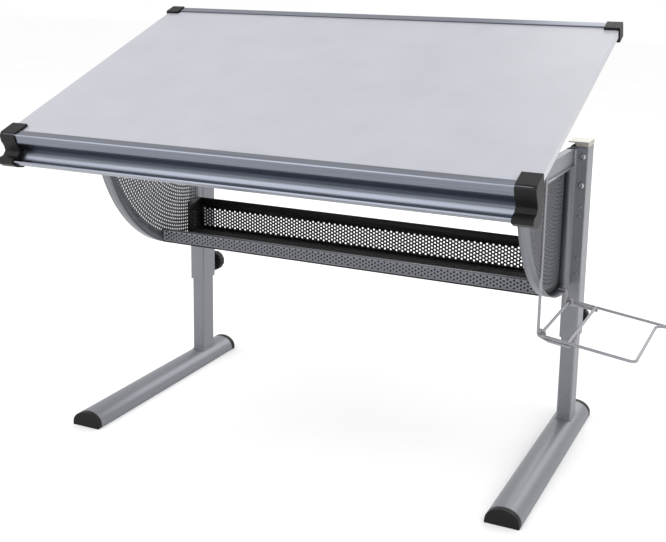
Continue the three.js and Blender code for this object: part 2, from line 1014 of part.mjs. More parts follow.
// ---- Wire rack and its hangers ------------------------------------------------------

// The rack in its own frame: x outwards from its hinge rod, y across the table.
function wireRack() {
  const weld = 0.2;
  const tailY = rackRearY - 2 * wireRadius + weld;
  const outline = roundedPath(
    [
      [rackTipReach, rackRearY, 0],
      [0, rackRearY, 0],
      [0, rackFrontY, 0],
      [rackReach, rackFrontY, 0],
      [rackReach, tailY, 0],
      [rackTipReach, tailY, 0],
    ],
    7,
  );
  const crossRod = bar(
    [rackCrossRod, rackFrontY, 0],
    [rackCrossRod, rackRearY, 0],
    wireRadius,
    8,
  );
  return join(wire(outline, wireRadius), crossRod);
}

// A hanger's eye round the rack's hinge rod, and a tail that the rack's end rod rests on.
function eyeAndTail(y, rodY) {
  const eye = new THREE.TorusGeometry(eyeRadius, wireRadius, 8, 16)
    .rotateX(Math.PI / 2)
    .translate(rackHingeX, y, rackHingeZ);
  const along = Math.cos(rackDroop);
  const down = Math.sin(rackDroop);
  const below = (reach, place) => [
    rackHingeX - down * eyeRadius + along * reach,
    place,
    rackHingeZ - along * eyeRadius - down * reach,
  ];
  const bend = rackTail * 0.3;
  const tail = roundedPath([below(0, y), below(bend, rodY), below(rackTail, rodY)], 4);
  return join(eye, wire(tail, wireRadius));
}

function frontHanger() {
  const y = rackFrontY + rackEyeInset;
  const x = rackHingeX - eyeRadius;
  const over = railTop + fitGap + wireRadius;
  const inner = railInner - fitGap - wireRadius;
  const path = roundedPath(
    [
      [x, y, rackHingeZ],
      [x, y, over],
      [inner, y, over],
      [inner, y, over - hangerTip],
    ],
    4,
  );
  return join(eyeAndTail(y, rackFrontY), wire(path, wireRadius));
}

// The rear hanger is short, and hooks over the panel's bottom flange.
function rearHanger() {
  const y = rackRearY - rackEyeInset;
  const x = rackHingeX - eyeRadius;
  const flangeTop = panelArcBottom + sheet;
  const over = flangeTop + fitGap + wireRadius;
  const path = roundedPath(
    [
      [x, y, rackHingeZ],
      [x, y, over],
      [panelInner + sheet + wireRadius + 1, y, over],
    ],
    4,
  );
  return join(eyeAndTail(y, rackRearY), wire(path, wireRadius));
}

function cordHook() {
  const x = postHalfSpacing + upperPostWidth / 2 - 8;
  const start = postRear + fitGap;
  const path = roundedPath(
    [
      [x, start, hookLevel],
      [x, start + hookReach, hookLevel - 2],
      [x, start + hookReach, hookLevel - hookDrop],
      [x, start + hookReach * 0.4, hookLevel - hookDrop - 3],
    ],
    5,
  );
  return wire(path, hookRadius);
}

// ---- Assembly -----------------------------------------------------------------------

const table = new THREE.Group();

const base = new THREE.Group();
table.add(base);
addPair(base, "foot", foot(), silverPaint);
addPair(base, "foot_front_cap", footCap(footRearReach - footLength, -1), blackPlastic);
addPair(base, "foot_rear_cap", footCap(footRearReach, 1), blackPlastic);
addPair(base, "lower_post", lowerPost(), silverPaint);

const frame = new THREE.Group();
table.add(frame);
addPair(frame, "upper_post", upperPost(), silverPaint);
addPair(frame, "guide_bush", guideBush(), paleNylon);
addPair(frame, "side_panel", sidePanel(), silverPaint);
addPair(frame, "side_upright", sideUpright(), silverPaint);
addPair(frame, "mount_plate", mountPlate(), silverPaint);
mountBoltLevels.forEach((level, index) => {
  addPair(frame, `mount_bolt_${index + 1}`, mountBolt(level), zincSteel);
});
addPair(frame, "top_rail", topRail(), silverPaint);
addPair(frame, "rest_plate", restPlate(), zincSteel);
addPair(frame, "weld_nut", weldNut(), zincSteel);
addPair(frame, "height_knob", heightKnob(), blackPlastic);
addPair(frame, "height_stud", heightStud(), zincSteel);
addPair(frame, "tilt_spacer", lockSpacer(), zincSteel);
add(frame, "tray", tray(), trayPaint);
add(frame, "tray_fascia", fascia(), silverPaint);
add(frame, "rack_front_hanger", frontHanger(), zincSteel);
add(frame, "rack_rear_hanger", rearHanger(), zincSteel);
add(frame, "cord_hook", cordHook(), zincSteel);

const lockKnobs = new THREE.Group();
lockKnobs.position.set(0, lockStudY, lockStudZ);
frame.add(lockKnobs);
addPair(lockKnobs, "tilt_knob", lockKnob(), blackPlastic);
addPair(lockKnobs, "tilt_stud", lockStud(), zincSteel);

// The tilting group turns about the hinge, and the board's own frame hangs in it.
const tilting = new THREE.Group();
tilting.name = "tilting";
tilting.position.set(0, hingeY, hingeZ);
tilting.rotation.x = tiltAtRest;
table.add(tilting);
const hingePin = headedPin(stayEarInner - fitGap, railInner + lugThickness + 3, 3, 5.5);
addPair(tilting, "hinge_pin", hingePin, zincSteel);

const board = new THREE.Group();
board.position.set(0, -hingeSetback, hingeDrop);
tilting.add(board);
add(board, "board_top", boardTop(), laminate);
add(board, "pencil_rail", frontRail(), railAluminium);
add(board, "rear_rail", rearRail(), railAluminium);
addPair(board, "front_corner_cap", frontCap(), blackPlastic);
addPair(board, "rear_corner_cap", rearCap(), blackPlastic);
addPair(board, "board_bearer", boardBearer(), silverPaint);

// Each stay hangs from its pin and points at the lock stud.
const stays = new THREE.Group();
stays.name = "stays";
stays.position.set(0, stayRadius, 0);
stays.rotation.x = -(tiltAtRest + stayLead) / 2;
tilting.add(stays);
addPair(stays, "tilt_stay", tiltStay(), zincSteel);
const stayPin = headedPin(stayInnerFace - fitGap, railInner - 2 * fitGap, 2, 5);
addPair(stays, "stay_pin", stayPin, zincSteel);

const rack = new THREE.Group();
rack.name = "rack";
rack.position.set(rackHingeX, 0, rackHingeZ);
rack.rotation.y = rackDroop;
table.add(rack);
add(rack, "wire_rack", wireRack(), zincSteel);

table.updateMatrixWorld(true);
const bounds = new THREE.Box3().setFromObject(table, true);
table.position.set(
  -(bounds.min.x + bounds.max.x) / 2,
  -(bounds.min.y + bounds.max.y) / 2,
  -bounds.min.z,
);

export default table;
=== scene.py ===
import json
import math

import bmesh
import bpy
from mathutils import Matrix, Vector


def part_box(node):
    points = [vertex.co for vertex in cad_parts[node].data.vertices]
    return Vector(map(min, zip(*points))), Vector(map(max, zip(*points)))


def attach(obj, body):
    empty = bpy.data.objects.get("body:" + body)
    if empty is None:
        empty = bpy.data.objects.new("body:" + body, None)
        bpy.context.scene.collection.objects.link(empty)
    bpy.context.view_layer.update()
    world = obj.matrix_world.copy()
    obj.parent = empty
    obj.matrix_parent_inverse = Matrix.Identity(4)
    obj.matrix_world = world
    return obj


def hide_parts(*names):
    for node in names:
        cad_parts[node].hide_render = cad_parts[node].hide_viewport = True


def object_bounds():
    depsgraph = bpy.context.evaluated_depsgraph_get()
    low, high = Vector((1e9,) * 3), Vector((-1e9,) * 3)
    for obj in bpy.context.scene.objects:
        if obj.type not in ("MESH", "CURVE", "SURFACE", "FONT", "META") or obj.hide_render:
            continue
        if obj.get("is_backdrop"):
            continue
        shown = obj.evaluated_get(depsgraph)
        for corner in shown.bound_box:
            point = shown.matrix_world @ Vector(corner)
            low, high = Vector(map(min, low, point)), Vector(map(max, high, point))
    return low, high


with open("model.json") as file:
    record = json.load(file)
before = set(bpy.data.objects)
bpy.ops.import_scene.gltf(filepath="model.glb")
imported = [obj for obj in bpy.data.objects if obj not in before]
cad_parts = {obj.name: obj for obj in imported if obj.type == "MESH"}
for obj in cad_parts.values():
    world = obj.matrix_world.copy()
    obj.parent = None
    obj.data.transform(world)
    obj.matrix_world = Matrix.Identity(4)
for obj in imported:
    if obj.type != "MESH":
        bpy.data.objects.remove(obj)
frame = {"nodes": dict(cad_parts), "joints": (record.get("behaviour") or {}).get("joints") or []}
cad_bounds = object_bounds()

MM = 0.001
SIDES = {"left": -1, "right": 1}

# ---- Places worked out from the frame -----------------------------------------------

joints = {joint["name"]: joint for joint in frame["joints"]}
panel_low, panel_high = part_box("right_side_panel")
tray_low, tray_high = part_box("tray")
fascia_low, fascia_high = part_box("tray_fascia")
middle = (tray_low.x + tray_high.x) / 2
hinge = Vector(joints["board_tilt"]["pos_m"])

board_tilt = math.radians(20.5)
board_width = 1092 * MM
board_depth = 656 * MM
board_thickness = 16 * MM
hinge_setback = 45 * MM
hinge_drop = 40 * MM

# The board's own frame: x across from the middle, y from the front edge, z above its top.
board_frame = (
    Matrix.Translation((middle, hinge.y, hinge.z))
    @ Matrix.Rotation(board_tilt, 4, "X")
    @ Matrix.Translation((0, -hinge_setback, hinge_drop))
)


# ---- Materials ----------------------------------------------------------------------


def colour(hex_value):
    """Linear colour of an sRGB hex value such as "#C9CAD0"."""
    channels = [int(hex_value[i : i + 2], 16) / 255 for i in (1, 3, 5)]
    linear = [c / 12.92 if c <= 0.04045 else ((c + 0.055) / 1.055) ** 2.4 for c in channels]
    return (*linear, 1)


def add_node(tree, kind, settings=None, links=None):
    """Adds a node. Settings are its properties or input values; links are input to (node, output)."""
    node = tree.nodes.new(kind)
    for name, value in (settings or {}).items():
        if name in node.inputs:
            node.inputs[name].default_value = value
        else:
            setattr(node, name, value)
    for name, (source, output) in (links or {}).items():
        tree.links.new(source.outputs[output], node.inputs[name])
    return node


def new_material(name, settings):
    """A material with one Principled shader, and its tree and shader."""
    material = bpy.data.materials.new(name)
    material.use_nodes = True
    tree = material.node_tree
    tree.nodes.clear()
    shader = add_node(tree, "ShaderNodeBsdfPrincipled", settings)
    add_node(tree, "ShaderNodeOutputMaterial", None, {"Surface": (shader, "BSDF")})
    return material, tree, shader


def grain(tree, size_mm, detail=2.0, stretch=(1, 1, 1)):
    """Noise whose grains are about size_mm across, and longer along a stretched axis."""
    place = add_node(tree, "ShaderNodeTexCoord")
    mapping = add_node(
        tree,
        "ShaderNodeMapping",
        {"Scale": tuple(1 / s for s in stretch)},
        {"Vector": (place, "Object")},
    )
    return add_node(
        tree,
        "ShaderNodeTexNoise",
        {"Scale": 1 / (size_mm * MM), "Detail": detail, "Roughness": 0.55},
        {"Vector": (mapping, "Vector")},
    )


def tint(tree, shader, noise, low, high, start=0.35, end=0.65):
    """The shader's colour runs from low to high with the noise."""
    ramp = add_node(tree, "ShaderNodeValToRGB", None, {"Fac": (noise, "Fac")})
    ramp.color_ramp.elements[0].position = start
    ramp.color_ramp.elements[0].color = colour(low)
    ramp.color_ramp.elements[1].position = end
    ramp.color_ramp.elements[1].color = colour(high)
    tree.links.new(ramp.outputs["Color"], shader.inputs["Base Color"])


def relief(tree, shader, noise, height_mm, strength=1.0):
    """Bumps of about height_mm."""
    bump = add_node(
        tree,
        "ShaderNodeBump",
        {"Strength": strength, "Distance": height_mm * MM},
        {"Height": (noise, "Fac")},
    )
    tree.links.new(bump.outputs["Normal"], shader.inputs["Normal"])


def gloss(tree, shader, noise, low, high):
    """The roughness runs from low to high with the noise."""
    spread = add_node(
        tree,
        "ShaderNodeMapRange",
        {"From Min": 0.3, "From Max": 0.7, "To Min": low, "To Max": high},
        {"Value": (noise, "Fac")},
    )
    tree.links.new(spread.outputs["Result"], shader.inputs["Roughness"])


def melamine_board():
    # Melamine-faced board: a pressed pearl surface, satin, with a faint cloudiness.
    material, tree, shader = new_material("melamine faced board, pale grey", {"IOR": 1.5})
    tint(tree, shader, grain(tree, 90, 3), "#A6A7AE", "#AAABB2")
    fine = grain(tree, 1.6)
    gloss(tree, shader, fine, 0.36, 0.46)
    relief(tree, shader, fine, 0.012)
    return material


def abs_edging():
    # ABS edge band: ironed on and scraped, a little smoother and paler than the face.
    material, tree, shader = new_material("ABS edge band, light grey", {"IOR": 1.53})
    streaks = grain(tree, 2, 2, (18, 18, 1))
    tint(tree, shader, streaks, "#AEAFB4", "#BBBCC1")
    gloss(tree, shader, streaks, 0.3, 0.42)
    return material


def silver_powder_coat(name="silver powder coated steel", low="#707278", high="#84868C"):
    # Polyester powder coat with aluminium flake: fine sparkle over a soft orange peel.
    # The flakes are 0.05 mm in life and are drawn 0.9 mm wide so that they show.
    material, tree, shader = new_material(name, {"Metallic": 0.45, "IOR": 1.5})
    flakes = grain(tree, 0.9, 1)
    tint(tree, shader, flakes, low, high, 0.3, 0.7)
    gloss(tree, shader, flakes, 0.34, 0.48)
    relief(tree, shader, grain(tree, 3.5, 2), 0.03)
    return material


def anodised_aluminium():
    # Extruded and anodised aluminium: die lines run along the bar and stretch its gloss.
    material, tree, shader = new_material("anodised aluminium extrusion", {"Metallic": 1.0})
    die_lines = grain(tree, 0.8, 3, (400, 1, 1))
    tint(tree, shader, die_lines, "#6C707A", "#7F838D")
    gloss(tree, shader, die_lines, 0.26, 0.36)
    relief(tree, shader, die_lines, 0.008)
    return material


def black_powder_coat():
    # Fine-textured black powder coat: tight pebbles that break up the gloss.
    material, tree, shader = new_material(
        "black powder coated steel", {"IOR": 1.5, "Specular IOR Level": 0.3}
    )
    pebbles = grain(tree, 0.8, 2)
    tint(tree, shader, pebbles, "#0E0E0F", "#1A1A1C")
    gloss(tree, shader, pebbles, 0.4, 0.6)
    relief(tree, shader, pebbles, 0.04)
    return material


def moulded_polypropylene():
    # Moulded polypropylene: spark-eroded grain, dull with soft highlights on the edges.
    material, tree, shader = new_material(
        "moulded polypropylene, black", {"IOR": 1.49, "Specular IOR Level": 0.22}
    )
    grit = grain(tree, 0.7, 2)
    tint(tree, shader, grit, "#0B0B0C", "#121214")
    gloss(tree, shader, grit, 0.42, 0.58)
    relief(tree, shader, grit, 0.03)
    return material


def zinc_plate():
    # Bright zinc plate on mild steel: a cool metal with faint cloudy patches.
    material, tree, shader = new_material("zinc plated steel", {"Metallic": 1.0})
    clouds = grain(tree, 4, 3)
    tint(tree, shader, clouds, "#A4A6AB", "#BDBFC4")
    gloss(tree, shader, clouds, 0.24, 0.38)
    return material


def galvanised_sheet():
    # Hot-dipped sheet: a warm pale grey with spangle a few millimetres across.
    material, tree, shader = new_material("galvanised steel sheet", {"Metallic": 0.7})
    place = add_node(tree, "ShaderNodeTexCoord")
    spangle = add_node(
        tree,
        "ShaderNodeTexVoronoi",
        {"Scale": 1 / (5 * MM)},
        {"Vector": (place, "Object")},
    )
    ramp = add_node(tree, "ShaderNodeValToRGB", None, {"Fac": (spangle, "Color")})
    ramp.color_ramp.elements[0].color = colour("#A9A69C")
    ramp.color_ramp.elements[1].color = colour("#BFBCB3")
    tree.links.new(ramp.outputs["Color"], shader.inputs["Base Color"])
    gloss(tree, shader, grain(tree, 3), 0.35, 0.5)
    return material


def natural_nylon():
    # Natural nylon: milky and slightly see-through, with a satin skin.
    material, tree, shader = new_material("natural nylon", {"IOR": 1.53, "Roughness": 0.45})
    tint(tree, shader, grain(tree, 6), "#CBCBC5", "#D9D9D4")
    return material


board_face = melamine_board()
board_edge = abs_edging()
silver = silver_powder_coat()
# A darker copy of the silver powder coat, for the perforated side sheets only: painted shade, standing in
# for the shadow the sheets lie in under the board.
shaded_panel_silver = silver_powder_coat("silver powder coated perforated sheet", "#4C4E54", "#5E6066")
wire_silver = silver_powder_coat("silver powder coated wire", "#85858A", "#96969B")
aluminium = anodised_aluminium()
black_steel = black_powder_coat()
black_plastic = moulded_polypropylene()
zinc = zinc_plate()
galvanised = galvanised_sheet()
nylon = natural_nylon()


# ---- Making pieces ------------------------------------------------------------------


def add_piece(name, bm, body, materials, replaces=(), sharp=25):
    """Makes the mesh a piece that rides on a body and takes the place of CAD nodes."""
    mesh = bpy.data.meshes.new(name)
    bm.to_mesh(mesh)
    bm.free()
    for material in materials:
        mesh.materials.append(material)
    mesh.shade_smooth()
    mesh.set_sharp_from_angle(angle=math.radians(sharp))
    piece = bpy.data.objects.new(name, mesh)
    bpy.context.scene.collection.objects.link(piece)
    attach(piece, body)
    if replaces:
        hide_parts(*replaces)
    return piece


def keep_flats_flat(piece):
    """Normals that follow the large faces, so that a rounded edge doesn't shade them."""
    modifier = piece.modifiers.new("flat faces", "WEIGHTED_NORMAL")
    modifier.mode = "FACE_AREA"
    modifier.keep_sharp = True
    return piece


def eased(node, width_mm, body, material, segments=2):
    """A CAD node with its hard edges eased, in its place."""
    bm = bmesh.new()
    bm.from_mesh(frame["nodes"][node].data)
    bmesh.ops.remove_doubles(bm, verts=bm.verts, dist=0.002 * MM)
    bmesh.ops.dissolve_limit(
        bm,
        angle_limit=math.radians(0.5),
        verts=bm.verts,
        edges=bm.edges,
        use_dissolve_boundaries=False,
    )
    edges = [e for e in bm.edges if e.calc_face_angle(0) > math.radians(35)]
    bmesh.ops.bevel(
        bm,
        geom=edges,
        offset=width_mm * MM,
        segments=segments,
        profile=0.5,
        affect="EDGES",
        material=-1,
        clamp_overlap=True,
    )
    piece = add_piece(f"{node}_eased", bm, body, [material], [node], 40)
    return keep_flats_flat(piece)


def outline_loop(bm, points):
    """A closed loop of edges through the points."""
    verts = [bm.verts.new(point) for point in points]
    return [bm.edges.new((verts[i - 1], verts[i])) for i in range(len(verts))]


def extruded(points, vector):
    """A closed outline filled and extruded along a vector."""
    bm = bmesh.new()
    edges = outline_loop(bm, points)
    bmesh.ops.contextual_create(bm, geom=edges)
    swept = bmesh.ops.extrude_face_region(bm, geom=bm.faces[:])
    moved = [e for e in swept["geom"] if isinstance(e, bmesh.types.BMVert)]
    bmesh.ops.translate(bm, verts=moved, vec=vector)
    bmesh.ops.recalc_face_normals(bm, faces=bm.faces)
    return bm


def round_edges(bm, width_mm, angle=35, segments=2):
    """Rounds the edges that are sharper than an angle."""
    edges = [e for e in bm.edges if e.calc_face_angle(0) > math.radians(angle)]
    bmesh.ops.bevel(
        bm,
        geom=edges,
        offset=width_mm * MM,
        segments=segments,
        profile=0.5,
        affect="EDGES",
        material=-1,
        clamp_overlap=True,
    )


def bezier_corner(path, radius):
    """Bezier points along a path, two at each rounded corner: (place, handle in, handle out)."""
    points = [Vector(point) for point in path]
    made = [(points[0], None, None)]
    for before, corner, after in zip(points, points[1:], points[2:]):
        back = (before - corner).normalized()
        onward = (after - corner).normalized()
        reach = radius / math.tan(back.angle(onward) / 2)
        start = corner + back * reach
        end = corner + onward * reach
        made.append((start, None, start.lerp(corner, 0.55)))
        made.append((end, end.lerp(corner, 0.55), None))
    made.append((points[-1], None, None))
    return made


def wire_mesh(bm, path, radius, bend, sides=12):
    """Adds a round wire along a path with rounded corners and domed ends."""
    data = bpy.data.curves.new("wire path", "CURVE")
    data.dimensions = "3D"
    data.bevel_depth = radius
    data.bevel_resolution = sides // 4
    data.resolution_u = 10
    data.use_fill_caps = True
    spline = data.splines.new("BEZIER")
    made = bezier_corner(path, bend)
    spline.bezier_points.add(len(made) - 1)
    for point, (place, handle_in, handle_out) in zip(spline.bezier_points, made):
        point.handle_left_type = "FREE"
        point.handle_right_type = "FREE"
        point.co = place
        point.handle_left = handle_in or place
        point.handle_right = handle_out or place
    holder = bpy.data.objects.new("wire path", data)
    mesh = bpy.data.meshes.new_from_object(holder)
    bm.from_mesh(mesh)
    bpy.data.objects.remove(holder)
    bpy.data.curves.remove(data)
    bpy.data.meshes.remove(mesh)


# ---- Perforated sheets --------------------------------------------------------------

hole_pitch = 8.3 * MM
hole_radius = 2.5 * MM
sheet = 1.5 * MM


def staggered_rows(width, height, pitch):
    """Hole centres in a rectangle: columns of holes, every other column half a pitch lower."""
    column_gap = pitch * math.sin(math.radians(60))
    columns = int(width / column_gap)
    rows = int(height / pitch)
    for column in range(columns + 1):
        shift = pitch / 2 if column % 2 else 0
        for row in range(rows + (0 if shift else 1)):
            yield (
                (column - columns / 2) * column_gap,
                (row - rows / 2) * pitch + shift,
            )


def perforated_sheet(outline, centres, lie, radius=hole_radius, sides=8):
    """A flat sheet in the lie's x and y, with round holes, before it gets its thickness."""
    bm = bmesh.new()
    outline_loop(bm, [(x, y, 0) for x, y in outline])
    for x, y in centres:
        bmesh.ops.create_circle(
            bm,
            cap_ends=False,
            radius=radius,
            segments=sides,
            matrix=Matrix.Translation((x, y, 0)),
        )
    bmesh.ops.triangle_fill(bm, edges=bm.edges[:], normal=(0, 0, 1), use_beauty=False)
    for face in bm.faces:
        if face.normal.z < 0:
            face.normal_flip()
    bm.transform(lie)
    return bm


def thicken(piece, thickness, offset):
    """Gives an open sheet its thickness; offset -1 grows it away from its face."""
    modifier = piece.modifiers.new("sheet thickness", "SOLIDIFY")
    modifier.thickness = thickness
    modifier.offset = offset
    return piece


def rectangle_outline(width, height):
    x = width / 2
    y = height / 2
    return [(-x, -y), (x, -y), (x, y), (-x, y)]


# ---- Side panels --------------------------------------------------------------------

arc_radius = 353.5 * MM
arc_centre_y = panel_high.y - 24.6 * MM
arc_centre_z = panel_low.z + arc_radius
plain_border = 23 * MM
panel_corner = 8 * MM


def panel_outline(inset=0.0):
    """The panel's edge as (y, z): an arc from its front top corner round to its rear."""
    top = panel_high.z - inset
    rear = panel_high.y - inset
    radius = arc_radius - inset
    start = math.pi + math.asin((arc_centre_z - top) / radius)
    points = [(rear, top)]
    steps = 56
    for i in range(steps + 1):
        angle = start + (math.pi * 1.5 - start) * i / steps
        points.append((arc_centre_y + radius * math.cos(angle), arc_centre_z + radius * math.sin(angle)))
    bottom = arc_centre_z - radius
    corner = panel_corner - inset
    for i in range(7):
        angle = -math.pi / 2 + math.pi / 2 * i / 6
        points.append((rear - corner + corner * math.cos(angle), bottom + corner + corner * math.sin(angle)))
    return points


def panel_holes():
    """Rows of holes on arcs about the panel's arc centre, each row evenly spaced."""
    top = panel_high.z - 16 * MM
    rear = panel_high.y - 13 * MM
    radius = arc_radius - plain_border - hole_radius
    while radius > 95 * MM:
        start = math.pi + math.asin(min(1, (arc_centre_z - top) / radius))
        end = math.pi * 1.5 + math.asin((rear - arc_centre_y) / radius)
        count = int(radius * (end - start) / hole_pitch)
        for i in range(count + 1):
            angle = start + (end - start) * i / max(count, 1)
            yield (arc_centre_y + radius * math.cos(angle), arc_centre_z + radius * math.sin(angle))
        radius -= hole_pitch


def side_panels():
    for side, sign in SIDES.items():
        node = f"{side}_side_panel"
        low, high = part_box(node)
        inner = low.x if sign > 0 else high.x
        outer = high.x if sign > 0 else low.x
        # x and y of the flat pattern lie along Y and Z, and its face looks along X.
        lie = Matrix(((0, 0, 1, inner), (1, 0, 0, 0), (0, 1, 0, 0), (0, 0, 0, 1)))
        # The perforated sheet takes the darker silver, which is painted shade; its rim keeps the plain
        # silver.
        bm = perforated_sheet(panel_outline(0.2 * MM), panel_holes(), lie)
        face = add_piece(
            f"{side}_panel_sheet", bm, "frame", [shaded_panel_silver], [node]
        )
        thicken(face, sheet, sign)
        bm = bmesh.new()
        outline_loop(bm, [(inner, y, z) for y, z in panel_outline()])
        swept = bmesh.ops.extrude_edge_only(bm, edges=bm.edges[:])
        moved = [e for e in swept["geom"] if isinstance(e, bmesh.types.BMVert)]
        bmesh.ops.translate(bm, verts=moved, vec=(outer - inner, 0, 0))
        bmesh.ops.recalc_face_normals(bm, faces=bm.faces)
        rim = add_piece(f"{side}_panel_rim", bm, "frame", [silver])
        modifier = rim.modifiers.new("sheet thickness", "SOLIDIFY")
        modifier.thickness = sheet
        modifier.offset = -1


# ---- Tray and fascia ----------------------------------------------------------------


def upright_lie(y):
    """A flat pattern stood up across the table, with its face looking at the user."""
    return Matrix(((1, 0, 0, middle), (0, 0, -1, y), (0, 1, 0, 0), (0, 0, 0, 1)))


def add_sheet(name, outline, centres, lie, material, thickness=sheet, replaces=()):
    bm = perforated_sheet(outline, centres, lie)
    piece = add_piece(name, bm, "frame", [material], replaces)
    return thicken(piece, thickness, -1)


def tray():
    width = tray_high.x - tray_low.x
    floor = tray_low.z
    back_height = tray_high.z - floor
    lip_height = 29 * MM
    depth = tray_high.y - tray_low.y
    band = 22 * MM

    def stand(points, base):
        return [(x, z + base) for x, z in points]

    # The back: a plain band along its top, and rows of holes below.
    field = back_height - band - 4 * MM
    outline = stand(rectangle_outline(width, back_height), floor + back_height / 2)
    holes = stand(staggered_rows(width - 24 * MM, field - 8 * MM, hole_pitch), floor + field / 2 + 4 * MM)
    lie = upright_lie(tray_high.y - sheet)
    add_sheet("tray_back", outline, holes, lie, black_steel, sheet, ["tray"])
    # The floor, with its own rows of holes up to the rear bend.
    flat = Matrix.Translation((middle, (tray_low.y + tray_high.y) / 2, floor + sheet))
    holes = staggered_rows(width - 24 * MM, depth - 36 * MM, hole_pitch)
    add_sheet("tray_floor", rectangle_outline(width, depth), holes, flat, black_steel)
    # The front lip.
    outline = stand(rectangle_outline(width, lip_height), floor + lip_height / 2)
    holes = stand(staggered_rows(width - 24 * MM, lip_height - 13 * MM, hole_pitch), floor + lip_height / 2)
    add_sheet("tray_lip", outline, holes, upright_lie(tray_low.y), black_steel)
    # The end flaps, folded forward from the back.
    flap = 60 * MM
    for side, sign in SIDES.items():
        x = tray_high.x - sheet if sign > 0 else tray_low.x + sheet
        lie = Matrix(((0, 0, -sign, x), (sign, 0, 0, tray_high.y - flap / 2), (0, 1, 0, 0), (0, 0, 0, 1)))
        outline = stand(rectangle_outline(flap, back_height), floor + back_height / 2)
        holes = stand(staggered_rows(flap - 16 * MM, field - 8 * MM, hole_pitch), floor + field / 2 + 4 * MM)
        add_sheet(f"{side}_tray_flap", outline, holes, lie, black_steel)


def fascia():
    width = fascia_high.x - fascia_low.x
    height = fascia_high.z - fascia_low.z
    centre = (fascia_low.z + fascia_high.z) / 2
    outline = [(x, z + centre) for x, z in rectangle_outline(width, height)]
    rows = staggered_rows(width - 16 * MM, height - 9 * MM, hole_pitch)
    holes = [(x, z + centre) for x, z in rows]
    lie = upright_lie(fascia_low.y)
    add_sheet("fascia_face", outline, holes, lie, silver, sheet, ["tray_fascia"])
    lip = fascia_high.y - fascia_low.y
    flat = Matrix.Translation((middle, fascia_low.y + lip / 2, fascia_high.z))
    outline = rectangle_outline(width, lip)
    add_sheet("fascia_lip", outline, [], flat, silver)


# ---- Board and its edge rails -------------------------------------------------------

rail_half_length = board_width / 2 - 4 * MM


def board():
    bm = bmesh.new()
    place = board_frame @ Matrix.Translation((0, board_depth / 2, -board_thickness / 2))
    size = Matrix.Diagonal((board_width, board_depth, board_thickness, 1))
    bmesh.ops.create_cube(bm, size=1, matrix=size)
    for face in bm.faces:
        face.material_index = 0 if abs(face.normal.z) > 0.5 else 1
    round_edges(bm, 0.8)
    bm.transform(place)
    piece = add_piece("board_slab", bm, "board", [board_face, board_edge], ["board_top"])
    keep_flats_flat(piece)


def smooth_run(points, steps):
    """Points along a smooth curve through a few guide points (a Catmull-Rom curve)."""
    guides = [Vector(p) for p in points]
    guides = [guides[0] * 2 - guides[1], *guides, guides[-1] * 2 - guides[-2]]
    made = []
    for a, b, c, d in zip(guides, guides[1:], guides[2:], guides[3:]):
        for i in range(steps):
            t = i / steps
            made.append(
                0.5
                * (
                    2 * b
                    + (c - a) * t
                    + (2 * a - 5 * b + 4 * c - d) * t * t
                    + (3 * b - a - 3 * c + d) * t * t * t
                )
            )
    made.append(guides[-2])
    return [(p.x, p.y) for p in made]


# Guide points of the pencil rail's cove and underside, in mm from the board's front edge.
cove_guides = [
    (-3, -11),
    (-2.4, -17),
    (2.5, -25),
    (6, -34.5),
    (4, -44.5),
    (-6, -52),
    (-17, -51),
    (-25.5, -43.5),
]
underside_guides = [(-19, -57), (-6, -64.5), (7, -65.5), (13, -56), (13.5, -36)]


def pencil_rail():
    under = -16.3
    outline = [
        (16, 0.3),
        (16, 3.4),
        (-1.2, 3.4),
        (-3, 1.8),
        *smooth_run(cove_guides, 4),
        (-28.3, -45.2),
        *smooth_run(underside_guides, 4),
        (13.5, under - 2),
        (16, under - 2),
        (16, under),
        (-0.3, under),
        (-0.3, 0.3),
    ]
    points = [(-rail_half_length, y * MM, z * MM) for y, z in outline]
    bm = extruded(points, (2 * rail_half_length, 0, 0))
    bm.transform(board_frame)
    piece = add_piece("pencil_rail_bar", bm, "board", [aluminium], ["pencil_rail"])
    keep_flats_flat(piece)


# ---- Knobs and bolts ----------------------------------------------------------------


def turned(profile, axis_matrix, steps=40):
    """A turned body from (radius, place) points along its axis, closed at both ends."""
    bm = bmesh.new()
    verts = [bm.verts.new((radius * MM, 0, place * MM)) for radius, place in profile]
    edges = [bm.edges.new(pair) for pair in zip(verts, verts[1:])]
    bmesh.ops.spin(
        bm,
        geom=verts + edges,
        cent=(0, 0, 0),
        axis=(0, 0, 1),
        angle=math.tau,
        steps=steps,
        use_merge=True,
    )
    bmesh.ops.remove_doubles(bm, verts=bm.verts, dist=0.001 * MM)
    bmesh.ops.recalc_face_normals(bm, faces=bm.faces)
    bm.transform(axis_matrix)
    return bm


def axis_along(direction, start):
    """A frame whose z runs along a direction from a starting point."""
    return Matrix.Translation(start) @ Vector(direction).to_track_quat("Z", "Y").to_matrix().to_4x4()


def fluted_knob(name, node, body, direction, start, radius_mm, length_mm, stem_mm, flutes):
    """A moulded hand knob: a stem, a fluted grip and a shallow dish in its face."""
    head = stem_mm
    tip = stem_mm + length_mm
    profile = [
        (0, 0),
        (radius_mm * 0.48, 0),
        (radius_mm * 0.48, head - 1),
        (radius_mm * 0.56, head),
        (radius_mm * 0.9, head),
        (radius_mm * 0.98, head + 1.5),
        (radius_mm, head + 4),
        (radius_mm, tip - 5),
        (radius_mm * 0.97, tip - 2),
        (radius_mm * 0.9, tip),
        (radius_mm * 0.66, tip),
        (radius_mm * 0.6, tip - 1.6),
        (0, tip - 2),
    ]
    bm = turned(profile, Matrix.Identity(4), flutes * 8)
    for vert in bm.verts:
        reach = math.hypot(vert.co.x, vert.co.y)
        if reach > radius_mm * 0.93 * MM:
            angle = math.atan2(vert.co.y, vert.co.x)
            dip = 1 - 0.075 * max(0, math.cos(flutes * angle)) ** 1.5
            vert.co.x *= dip
            vert.co.y *= dip
    bm.transform(axis_along(direction, start))
    add_piece(name, bm, body, [black_plastic], [node], 40)


